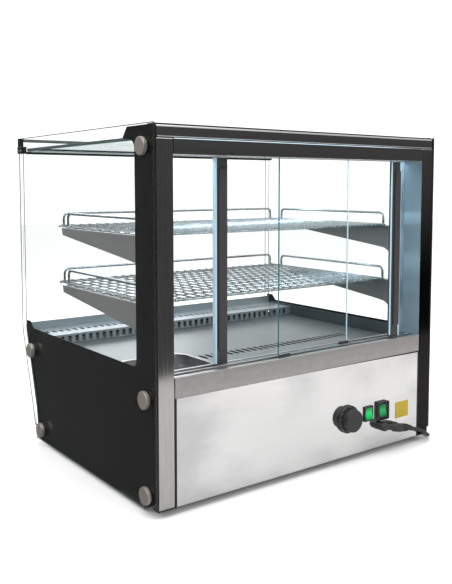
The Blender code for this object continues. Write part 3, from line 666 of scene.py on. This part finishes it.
# ---------------------------------------------------------------- front corner
# A dark anodised profile carries the front edge of the roof glass between two black clamps, each
# held to the side glass by two button screws. The lamp strip hides under the rear profile.
anodised = Paint("dark_anodised", (0.05, 0.06, 0.06), metallic=0.5, roughness=0.3)
pulled = anodised.noise(30, 3, anodised.place((0.15, 6, 6)))
anodised.colour((0.030, 0.037, 0.037), (0.075, 0.088, 0.088), pulled)
anodised.feed("Roughness", 0.24 + 0.16 * pulled)
bar = shape_of("roof_front_profile", "roof_front_shape")
for vertex in bar.data.vertices:
    vertex.co.z = 0.6236 if vertex.co.z < 0.634 else 0.6292
    vertex.co.x = 0.3408 if vertex.co.x > 0 else -0.3408
soften(bar, 0.0012, 3)
done(bar, "case", anodised, "roof_front_profile")
# A thin pale strip runs along the front face of the profile.
front_line = block("roof_front_pale_strip", (-0.3395, -0.2536, 0.6276), (0.3395, -0.2528, 0.6291))
pale = Paint("pale_strip", (0.55, 0.60, 0.60), metallic=0.4, roughness=0.35)
pale.colour((0.45, 0.50, 0.50), (0.68, 0.73, 0.73), pale.noise(25, 3, pale.place((0.3, 4, 4))))
done(soften(front_line, 0.0005, 2), "case", pale)

black_cast = Paint("black_cast", (0.018, 0.019, 0.019), roughness=0.34, metallic=0.2)
black_cast.feed("Roughness", 0.28 + 0.2 * black_cast.noise(160))
black_cast.bump(black_cast.noise(600, 2), 0.15, 0.0003)
steel_screw = Paint("screw_steel", (0.60, 0.60, 0.58), metallic=1.0, roughness=0.25)
steel_screw.feed("Roughness", 0.2 + 0.15 * steel_screw.noise(500, 2))


def mirrored(low, high, sign):
    """A block's corners on the near side, or their mirror image on the far side."""
    return (min(low[0] * sign, high[0] * sign), *low[1:]), (max(low[0] * sign, high[0] * sign), *high[1:])


for side, sign in (("near", 1), ("far", -1)):
    # Inside the glass: a foot and a web. Over its edges: top, outer cheek, front cheek, screw pad.
    arm = [soften(block("arm", *mirrored(low, high, sign)), 0.0010, 2) for low, high in (
        ((0.3412, -0.2885, 0.6248), (0.3457, -0.2720, 0.6400)),
        ((0.3440, -0.2885, 0.6390), (0.3457, -0.2825, 0.6565)),
        ((0.3436, -0.2939, 0.6566), (0.3530, -0.2800, 0.6578)),
        ((0.3514, -0.2939, 0.6400), (0.3530, -0.2800, 0.6575)),
        ((0.3436, -0.2939, 0.6248), (0.3530, -0.2892, 0.6575)),
        ((0.3514, -0.2939, 0.6248), (0.3540, -0.2700, 0.6403)))]
    clamp = joined(f"clamp_{side}_shape", arm)
    done(clamp, "case", black_cast, f"corner_clamp_{side}")
    screws = [turned("screw", [(0.0022, -0.0010), (0.0026, 0.0003), (0.0024, 0.0010), (0.0016, 0.0014)],
                     (0.3540 * sign, y, 0.6300), (sign, 0, 0), 20) for y in (-0.2900, -0.2750)]
    tongue = block("tongue", *mirrored((0.3538, -0.2930, 0.6356), (0.3550, -0.2735, 0.6380), sign))
    soften(tongue, 0.0004, 2)
    done(joined(f"clamp_screws_{side}", screws + [tongue]), "case", steel_screw)

# The lamp strip is a row of small lights 9 mm apart behind a clear cover.
LIGHT_PITCH = 0.009
lamp_glow = Paint("lamp_strip", (0.8, 0.9, 1.0), roughness=0.3, emission_strength=5.0)
glow = abs((lamp_glow.axis("X") * (pi / LIGHT_PITCH)).sum("SINE"))
lamp_glow.feed("Emission Color", lamp_glow.blend((0.55, 0.75, 0.95), (0.85, 0.95, 1.0), glow))
lamp_bar = soften(block("lamp_strip", (-0.309, 0.2096, 0.6290), (0.309, 0.2236, 0.6332)), 0.0010, 2)
done(lamp_bar, "case", lamp_glow)
# A thin strip on top of the door head glows: painted lamp light, the glow of the rear lamp strip reflected
# there, fading out at the far end.
painted_glow = Paint("painted_lamp_reflection", (0.5, 0.6, 0.66), roughness=0.2, emission_strength=0.55)
reach = painted_glow.axis("X").fade(-0.30, -0.15)
painted_glow.feed("Emission Color", painted_glow.blend((0.0, 0.0, 0.0), (0.50, 0.74, 0.92),
                                     reach * (0.6 + 0.4 * painted_glow.noise(12, 2))))
painted_glow.colour((0.20, 0.21, 0.22), (0.55, 0.66, 0.72), reach)
painted_glow_bar = soften(block("painted_glow_line", (-0.311, 0.2733, 0.6318), (0.311, 0.2743, 0.6329)), 0.0004, 2)
done(painted_glow_bar, "case", painted_glow)
for name, place, power in (("rear_lamp", (0, 0.205, 0.622), 0.8), ("front_lamp", (0, -0.236, 0.618), 0.9)):
    lamp = area_lamp(name, place, 0.60, power)
    lamp.data.shape, lamp.data.size_y, lamp.data.color = "RECTANGLE", 0.012, (0.66, 0.86, 1.0)


# ---------------------------------------------------------------- base
# Folded stainless: a tub hung between the printed glasses, a polished panel closing it at the
# back, and over that the sill with the door channels, brushed along its length.
panel = Paint("panel_steel", (0.90, 0.90, 0.90), metallic=1.0, roughness=0.10)
cloud = panel.noise(5, 4, panel.place((1, 1, 1.6)), 0.5)
brush = panel.noise(60, 3, panel.place((0.12, 1, 6)))
panel.colour((0.66, 0.66, 0.68), (0.97, 0.97, 0.97), 0.8 * cloud.fade(0.32, 0.62) + 0.2 * brush)
panel.feed("Roughness", 0.03 + 0.06 * cloud)
panel.bump(cloud, 0.10, 0.004)
refined("rear_panel", 0.0004, 2, "case", panel)

brushed = Paint("brushed_sill", (0.48, 0.465, 0.455), metallic=1.0, roughness=0.30)
hair = brushed.noise(90, 4, brushed.place((0.05, 2, 2)))
mottle = brushed.noise(70, 4)
brushed.colour((0.44, 0.425, 0.42), (0.72, 0.70, 0.69), 0.45 * hair + 0.55 * mottle)
brushed.feed("Roughness", 0.24 + 0.18 * hair)
brushed.bump(hair, 0.15, 0.0003)
refined("rear_sill", 0.0008, 2, "case", brushed)
sealant = outline("panel_sealant", [
    (-0.3118, 0.1976), (-0.3118, 0.2008), (-0.120, 0.2006), (-0.020, 0.2005), (-0.020, 0.2002),
    (-0.120, 0.1996), (-0.215, 0.1987)], "Y", 0.2739, 0.27435)
done(soften(sealant, 0.0002, 1), "case", gasket)


def dress(paint, node):
    """Gives a CAD node, whose shape is right as it is, its finish."""
    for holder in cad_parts[node].material_slots:
        holder.material = paint.material


sheet_metal = Paint("folded_sheet", (0.42, 0.42, 0.42), metallic=1.0, roughness=0.4)
spangle = sheet_metal.node("ShaderNodeTexVoronoi", None, {"Vector": sheet_metal.place(), "Scale": 90.0})
sheet_metal.colour((0.36, 0.36, 0.37), (0.50, 0.50, 0.50), spangle)
sheet_metal.feed("Roughness", 0.34 + 0.16 * sheet_metal.noise(30))
dress(sheet_metal, "base_tub")

foot_rubber = Paint("foot_rubber", (0.02, 0.02, 0.02), roughness=0.75)
foot_rubber.bump(foot_rubber.noise(400, 3), 0.3, 0.0004)
for name in ("foot_near_front", "foot_near_rear", "foot_far_front", "foot_far_rear"):
    x, y, _ = centre_of(name)
    foot = turned(f"{name}_shape", [
        (0.0155, 0.0), (0.0172, 0.0006), (0.0176, 0.0030), (0.0168, 0.0036), (0.0168, 0.0048),
        (0.0184, 0.0056), (0.0190, 0.0080), (0.0190, 0.0125), (0.0184, 0.0137)], (x, y, 0.0), (0, 0, 1), 40)
    done(foot, "case", foot_rubber, name)


# ---------------------------------------------------------------- deck
# Stainless inner floor, pressed with a riser at the front, a slotted ledge that lets the warm air
# up, a slotted return at the back and a round-cornered well for the water tray.
floor_steel = Paint("deck_steel", (0.50, 0.52, 0.53), metallic=0.7, roughness=0.30)
rub = floor_steel.noise(6, 2, floor_steel.place((1, 2, 1)))
scratch = floor_steel.noise(120, 3, floor_steel.place((0.08, 2, 1)))
worn = 0.4 * rub + 0.6 * scratch
# The deck is one sheet, but its floor is painted darker and its raised ledge and riser lighter and bluer:
# painted shade on the floor and painted lamp light on the raised parts. The rubbing and scratches within each
# are wear.
floor_painted_shade = floor_steel.blend((0.20, 0.222, 0.230), (0.27, 0.292, 0.300), worn)
raised_painted_light = floor_steel.blend((0.38, 0.425, 0.45), (0.50, 0.545, 0.57), worn)
floor_steel.colour(floor_painted_shade, raised_painted_light, floor_steel.axis("Z").fade(0.2150, 0.2175))
floor_steel.feed("Roughness", 0.26 + 0.08 * scratch)
floor_steel.bump(scratch, 0.06, 0.0003)
RISER, STEP, BACK, UNDER, FLOOR, LEDGE = -0.2700, -0.1800, 0.2225, 0.2125, 0.2140, 0.2360
SHEET = 0.0015
deck = outline("deck_plate", [
    (RISER, UNDER), (RISER + SHEET, UNDER), (RISER + SHEET, LEDGE - SHEET), (STEP - SHEET, LEDGE - SHEET),
    (STEP - SHEET, UNDER), (BACK, UNDER), (BACK, FLOOR), (STEP, FLOOR), (STEP, LEDGE),
    (RISER + SHEET, LEDGE), (RISER + SHEET, 0.2540), (RISER, 0.2540)], "X", -0.344, 0.344)


def round_tray(name, grow, low, high, radius=0.030):
    """A block with round upright corners on the water tray's outline, grown all round."""
    left, front, right, rear = 0.150 - grow, 0.040 - grow, 0.300 + grow, 0.180 + grow
    return outline(name, [(left, front), (right, front), (right, rear), (left, rear)], "Z", low, high,
                   tuple((corner, radius) for corner in range(4)))


# A row of slots through the ledge, one through the face of the step, and one along the back.
slots = []
for number in range(40):
    x = -0.3217 + number * 0.0165
    slot = block("slot", (x - 0.0040, -0.2360, LEDGE - 0.004), (x + 0.0040, -0.2140, LEDGE + 0.003))
    slots.append(soften(slot, 0.0030, 2))
    slots.append(block("slot", (x - 0.0040, STEP - 0.006, 0.2185), (x + 0.0040, STEP + 0.006, 0.2315)))
for number in range(26):
    x = 0.1300 - number * 0.0155
    slot = block("slot", (x - 0.0042, 0.0800, FLOOR - 0.005), (x + 0.0042, 0.1120, FLOOR + 0.004))
    slots.append(soften(slot, 0.0036, 2))
slots.append(round_tray("well", 0.001, FLOOR - 0.01, FLOOR + 0.01))
carve(deck, joined("slots", slots))
done(deck, "case", floor_steel, "deck")

# The water tray is a pressed pan whose brim rests on the deck round the well.
well_steel = Paint("tray_steel", (0.56, 0.56, 0.56), metallic=1.0, roughness=0.16)
well_steel.feed("Roughness", 0.12 + 0.14 * well_steel.noise(25, 4))
pan = round_tray("water_tray_shape", 0.0, 0.1800, 0.2155)
hollow = round_tray("hollow", -0.0012, 0.1812, 0.2300)
brim = round_tray("brim", 0.0068, 0.2144, 0.2158, 0.036)
carve(pan, hollow, keep=True)
carve(brim, hollow)
carve(pan, brim, "UNION")
done(soften(pan, 0.0004, 2), "tray", well_steel, "water_tray")

# Dull steel linings along both sides of the deck, and the upstand under the rear lamp, painted glowing with
# its light.
lining = Paint("side_lining", (0.10, 0.12, 0.125), metallic=0.5, roughness=0.32)
sheen = lining.noise(9, 3, lining.place((1, 1, 0.4)))
lining.colour((0.055, 0.072, 0.080), (0.100, 0.122, 0.130), sheen)
for side, left, right in (("near", 0.3442, 0.3452), ("far", -0.3452, -0.3442)):
    side_lining = block(f"deck_lining_{side}", (left, -0.2660, 0.2146), (right, 0.2020, 0.2405))
    done(soften(side_lining, 0.0003, 1), "case", lining)
# The upstand glows with painted lamp light, dimmer towards the far side.
upstand = Paint("upstand_painted_glow", (0.70, 0.80, 0.86), metallic=0.3, roughness=0.3, emission_strength=0.42)
upstand.feed("Emission Color", upstand.blend((0.25, 0.42, 0.52), (0.78, 0.92, 1.0),
                                             upstand.axis("X").fade(-0.20, 0.12)))
upstand_strip = block("deck_upstand", (-0.3110, 0.2206, 0.2142), (0.3110, 0.2216, 0.2212))
done(soften(upstand_strip, 0.0003, 1), "case", upstand)


# ---------------------------------------------------------------- shelves
# Chromed round wire, spot-welded: thin wires from front to back on cross rods, a heavier rim all
# round, and loops of bent rod along the front and the two sides that keep food from sliding off.
chrome = Paint("chrome_wire", (0.45, 0.48, 0.49), metallic=1.0, roughness=0.24)
chrome.feed("Roughness", 0.20 + 0.14 * chrome.noise(220, 2))
chrome.colour((0.33, 0.37, 0.38), (0.52, 0.56, 0.57), chrome.noise(60, 3))


def rod(name, points, radius, sides=8, bend=0.0):
    """Bent wire through the points, its corners rounded, with closed ends."""
    wire = bpy.data.curves.new(name, "CURVE")
    wire.dimensions = "3D"
    wire.bevel_depth, wire.bevel_resolution, wire.use_fill_caps = radius, max(0, sides // 4 - 1), True
    path, marks = [Vector(points[0])], [Vector(p) for p in points]
    for before, corner, after in zip(marks, marks[1:], marks[2:]):
        a, b = corner + (before - corner).normalized() * bend, corner + (after - corner).normalized() * bend
        for t in (0.0, 0.25, 0.5, 0.75, 1.0):
            path.append(a * (1 - t) ** 2 + corner * (2 * t * (1 - t)) + b * t ** 2)
    path.append(marks[-1])
    spline = wire.splines.new("POLY")
    spline.points.add(len(path) - 1)
    for knot, point in zip(spline.points, path):
        knot.co = (*point, 1)
    made = bpy.data.objects.new(name, wire)
    bpy.context.collection.objects.link(made)
    pick(made)
    bpy.ops.object.convert(target="MESH")
    return bpy.context.object


THIN, RIM, GUARD = 0.0015, 0.0020, 0.0027
X_HALF, Y_FRONT, Y_REAR = 0.2995, -0.2025, 0.1840
for name, body, top in (("upper_shelf", "top_rack", 0.4725), ("lower_shelf", "bottom_rack", 0.3525)):
    wire_z, cross_z, rail_z = top - THIN, top - 0.0038, top + 0.0235
    rim_z = cross_z + 0.0003
    wires = []
    for number in range(29):
        x = -0.2940 + number * 0.0210
        wires.append(rod("wire", [(x, Y_FRONT, wire_z), (x, Y_REAR, wire_z)], THIN))
    for number in range(10):
        y = Y_FRONT + 0.022 + number * 0.038
        wires.append(rod("cross", [(-0.3100, y, cross_z), (0.3100, y, cross_z)], THIN))
    for y in (Y_FRONT, Y_REAR):
        wires.append(rod("rim", [(-X_HALF, y, rim_z), (X_HALF, y, rim_z)], RIM))
    for x in (-X_HALF, X_HALF):
        wires.append(rod("rim", [(x, Y_FRONT, rim_z), (x, Y_REAR, rim_z)], RIM))
    for start_xy, end_xy in (((-0.290, -0.1995), (0.290, -0.1995)), ((-0.297, -0.163), (-0.297, 0.181)),
                             ((0.297, -0.163), (0.297, 0.181))):
        wires.append(rod("guard", [(*start_xy, cross_z), (*start_xy, rail_z), (*end_xy, rail_z),
                                   (*end_xy, cross_z)], GUARD, 12, 0.012))
    done(joined(f"{name}_wires", wires), body, chrome, name)

# Brackets: 2 mm stainless webs hooked into the columns, with a flange the shelf lies on.
web = Paint("bracket_steel", (0.22, 0.22, 0.215), metallic=0.4, roughness=0.38)
rolled = web.noise(60, 4, web.place((1, 0.08, 2)))
web.colour((0.165, 0.168, 0.163), (0.225, 0.228, 0.222), rolled)
web.feed("Roughness", 0.28 + 0.16 * rolled)
for node in ("upper_bracket_near", "upper_bracket_far", "lower_bracket_near", "lower_bracket_far"):
    refined(node, 0.0005, 2, "case", web)


# ---------------------------------------------------------------- sliding doors
# 4 mm tempered panes, each with a dark anodised profile and black grip on its closing edge and a
# black runner under it. The two run in their own channels of the sill.
# Both doors' glass edges are painted: the left one glowing light blue with lamp light carried in the glass,
# the right one dark teal in shade, barely glowing.
for name, dim_painted_glow, bright_painted_glow, shine in (("left_door", (0.35, 0.50, 0.56), (0.62, 0.78, 0.84), 0.25),
                                         ("right_door", (0.03, 0.085, 0.10), (0.09, 0.21, 0.245), 0.05)):
    edge = Paint(f"{name}_edge", dim_painted_glow, roughness=0.15, emission_strength=shine)
    drift = edge.noise(8, 3)
    edge.colour(dim_painted_glow, bright_painted_glow, drift)
    edge.feed("Emission Color", edge.blend(dim_painted_glow, bright_painted_glow, drift))
    leaf = pane(f"{name}_pane", lambda n: abs(n.y) < 0.5, edge, 0.0004)
    done(leaf, name, None, f"{name}_pane", smooth=0)

profile = Paint("door_profile", (0.06, 0.06, 0.062), metallic=0.35, roughness=0.30)
drawn = profile.noise(60, 3, profile.place((5, 5, 0.1)))
profile.colour((0.045, 0.045, 0.047), (0.078, 0.078, 0.080), drawn)
profile.feed("Roughness", 0.22 + 0.16 * drawn)
grip_black = Paint("grip_plastic", (0.040, 0.036, 0.036), roughness=0.42)
grip_black.feed("Roughness", 0.36 + 0.2 * grip_black.noise(120, 2))
grip_black.bump(grip_black.noise(900, 2), 0.15, 0.0002)
# Pale blue strips beside the closing profiles glow: painted lamp light along the glass edges of the doors.
painted_light_edge = Paint("painted_light_edge", (0.45, 0.60, 0.68), roughness=0.25, emission_strength=0.16)
shimmer = painted_light_edge.noise(10, 3)
painted_light_edge.colour((0.26, 0.38, 0.45), (0.46, 0.60, 0.68), shimmer)
painted_light_edge.feed("Emission Color", painted_light_edge.blend((0.32, 0.52, 0.64), (0.55, 0.78, 0.90), shimmer))
# Each closing profile is shortened a little in the run of the door, to leave room for its strip of painted
# light along the glass edge.
left_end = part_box("left_door_profile")[1][0]
right_start, right_end = (corner[0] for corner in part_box("right_door_profile"))
DOOR_TOP = 0.6040
for name, strips in (
        ("left_door", [((left_end - 0.0030, 0.2330, 0.2380), (left_end, 0.2425, DOOR_TOP))]),
        ("right_door", [((right_start, 0.2510, 0.2380), (right_start + 0.0042, 0.2605, DOOR_TOP)),
                        ((right_end + 0.0003, 0.2584, 0.2420), (right_end + 0.0034, 0.2600, DOOR_TOP))])):
    light_strips = [soften(block("strip", low, high), 0.0003, 2) for low, high in strips]
    done(joined(f"{name}_painted_light_edge", light_strips), name, painted_light_edge)
for name in ("left_door", "right_door"):
    closing_profile = shape_of(f"{name}_profile", f"{name}_profile_shape")
    for vertex in closing_profile.data.vertices:
        vertex.co.x = min(max(vertex.co.x, right_start + 0.0044), left_end - 0.0032)
    soften(closing_profile, 0.0009, 2)
    done(closing_profile, name, profile, f"{name}_profile")
    refined(f"{name}_grip", 0.0012, 3, name, grip_black)
    refined(f"{name}_runner", 0.0008, 2, name, grip_black)


# ---------------------------------------------------------------- controls
# A thermostat knob with a skirt and a fluted grip, two lit rocker switches in snap-in bezels, the
# second under a clear splash cover, and a plain yellow plate stuck beside them.
knob_black = Paint("knob_plastic", (0.016, 0.016, 0.017), roughness=0.30)
knob_black.feed("Roughness", 0.26 + 0.16 * knob_black.noise(150, 2))
knob_black.bump(knob_black.noise(1200, 2), 0.10, 0.0002)
KNOB = Vector((-0.097, 0.2743, 0.090))
OUTWARD = (0, 1, 0)
GRIP_MIDDLE = (0, 0, 0.0128)
skirt = turned("knob_skirt", [
    (0.0272, 0.0), (0.0280, 0.0008), (0.0280, 0.0040), (0.0274, 0.0050), (0.0255, 0.0058), (0.0232, 0.0066)],
    KNOB, OUTWARD, 64)
deselect()
bpy.ops.mesh.primitive_cylinder_add(vertices=72, radius=0.0222, depth=0.0140, location=GRIP_MIDDLE)
grip = bpy.context.object
grip.name = "knob_grip"
bpy.ops.object.transform_apply(location=True, rotation=True, scale=True)
# Every third face round the grip is pressed in to make a flute.
walls = sorted((face for face in grip.data.polygons if abs(face.normal.z) < 0.5),
               key=lambda face: face.normal.xy.angle_signed(Vector((1, 0))))
flutes = {face.index for face in walls[::3]}
choose(grip, "FACE", lambda face: face.index in flutes)
bpy.ops.mesh.inset(thickness=0.00025, use_individual=True)
bpy.ops.transform.resize(value=(0.965, 0.965, 0.94), center_override=GRIP_MIDDLE)
bpy.ops.object.mode_set(mode="OBJECT")
stood(soften(grip, 0.0007, 2), KNOB, OUTWARD)
knob = joined("knob_shape", [skirt, grip])
done(knob, "knob", knob_black, "thermostat_knob")

# Eleven plain ticks round the skirt, and a pointer line on the grip.
ink = Paint("dial_ink", (0.30, 0.30, 0.30), roughness=0.5)
ink.colour((0.20, 0.20, 0.20), (0.42, 0.42, 0.42), ink.noise(300, 2))
ticks = []
for number in range(11):
    angle = radians(-135 + number * 27)
    tick = block("tick", (-0.0004, -0.0001, 0.0238), (0.0004, 0.0001, 0.0262))
    tick.location = KNOB + Vector((0, 0.0062, 0))
    tick.rotation_euler = (0, angle, 0)
    bpy.ops.object.transform_apply(location=True, rotation=True, scale=True)
    ticks.append(tick)
ticks.append(block("pointer", (-0.0977, 0.2938, 0.0985), (-0.0963, 0.29395, 0.1100)))
done(joined("dial_marks", ticks), "knob", ink, smooth=0)

lit = Paint("lit_green", (0.0, 0.16, 0.04), roughness=0.25, emission_strength=0.8)
from_middle = lit.node("ShaderNodeMapping", None, {
    "Vector": lit.here(), "Location": (0, 0, -0.0905), "Scale": (0, 0, 1)})
spot = lit.node("ShaderNodeVectorMath", {"operation": "LENGTH"}, {0: from_middle}, out=1)
bright = 1 - spot.fade(0.001, 0.011)
lit.feed("Emission Color", lit.blend((0.0, 0.12, 0.022), (0.005, 0.58, 0.12), bright))
bezel_black = Paint("bezel_plastic", (0.015, 0.016, 0.016), roughness=0.22)
bezel_black.feed("Roughness", 0.18 + 0.12 * bezel_black.noise(200, 2))
for number, body in ((1, "power_rocker"), (2, "light_rocker")):
    refined(f"rocker_{number}", 0.0006, 3, body, lit)
    refined(f"switch_bezel_{number}", 0.0007, 2, "case", bezel_black)

# The splash cover stands on a thin black plinth. Its face is clear and its walls are black.
COVER_DEPTH = 0.62
plinth = soften(block("cover_plinth", (-0.2121, PANEL_Y, 0.0719), (-0.1819, 0.2749, 0.1091)), 0.0003, 2)
done(plinth, "case", bezel_black)
splash = see_through("splash_cover", (0.80, 0.83, 0.83), 0.02, 0.2)
cover = shape_of("switch_cover", "switch_cover_shape")
for paint in (splash, bezel_black):
    cover.data.materials.append(paint.material)
for face in cover.data.polygons:
    face.material_index = int(abs(face.normal.y) < 0.5 or face.center.y < 0.2760)
for vertex in cover.data.vertices:
    vertex.co.y = PANEL_Y + (vertex.co.y - PANEL_Y) * COVER_DEPTH
done(cover, "case", None, "switch_cover", smooth=0)

yellow = Paint("yellow_plate", (0.58, 0.42, 0.012), roughness=0.38)
yellow.colour((0.34, 0.245, 0.002), (0.44, 0.32, 0.004), yellow.noise(90, 4))
plate = outline("yellow_plate", [(-0.2795, 0.0645), (-0.2395, 0.0645), (-0.2395, 0.0985), (-0.2795, 0.0985)],
                "Y", 0.2739, 0.2744, rounds=tuple((corner, 0.0015) for corner in range(4)))
done(plate, "case", yellow)


# ---------------------------------------------------------------- inside the base
# Air heater and fan: a hairpin of sheathed element over the deck's return, and a small motor
# with a pressed aluminium impeller that drives the warm air up through the slots.
heat = Paint("heat_tinted", (0.30, 0.25, 0.20), metallic=1.0, roughness=0.35)
heat.colour((0.24, 0.20, 0.22), (0.42, 0.34, 0.22), heat.noise(35, 3))
dress(heat, "heating_element")
motor_can = Paint("motor_can", (0.45, 0.45, 0.46), metallic=1.0, roughness=0.35)
motor_can.feed("Roughness", 0.3 + 0.2 * motor_can.noise(40, 3))
dress(motor_can, "fan_motor")
pressed = Paint("pressed_blade", (0.66, 0.67, 0.69), metallic=1.0, roughness=0.4)
pressed.feed("Roughness", 0.32 + 0.2 * pressed.noise(80, 3))
dress(pressed, "fan_impeller")
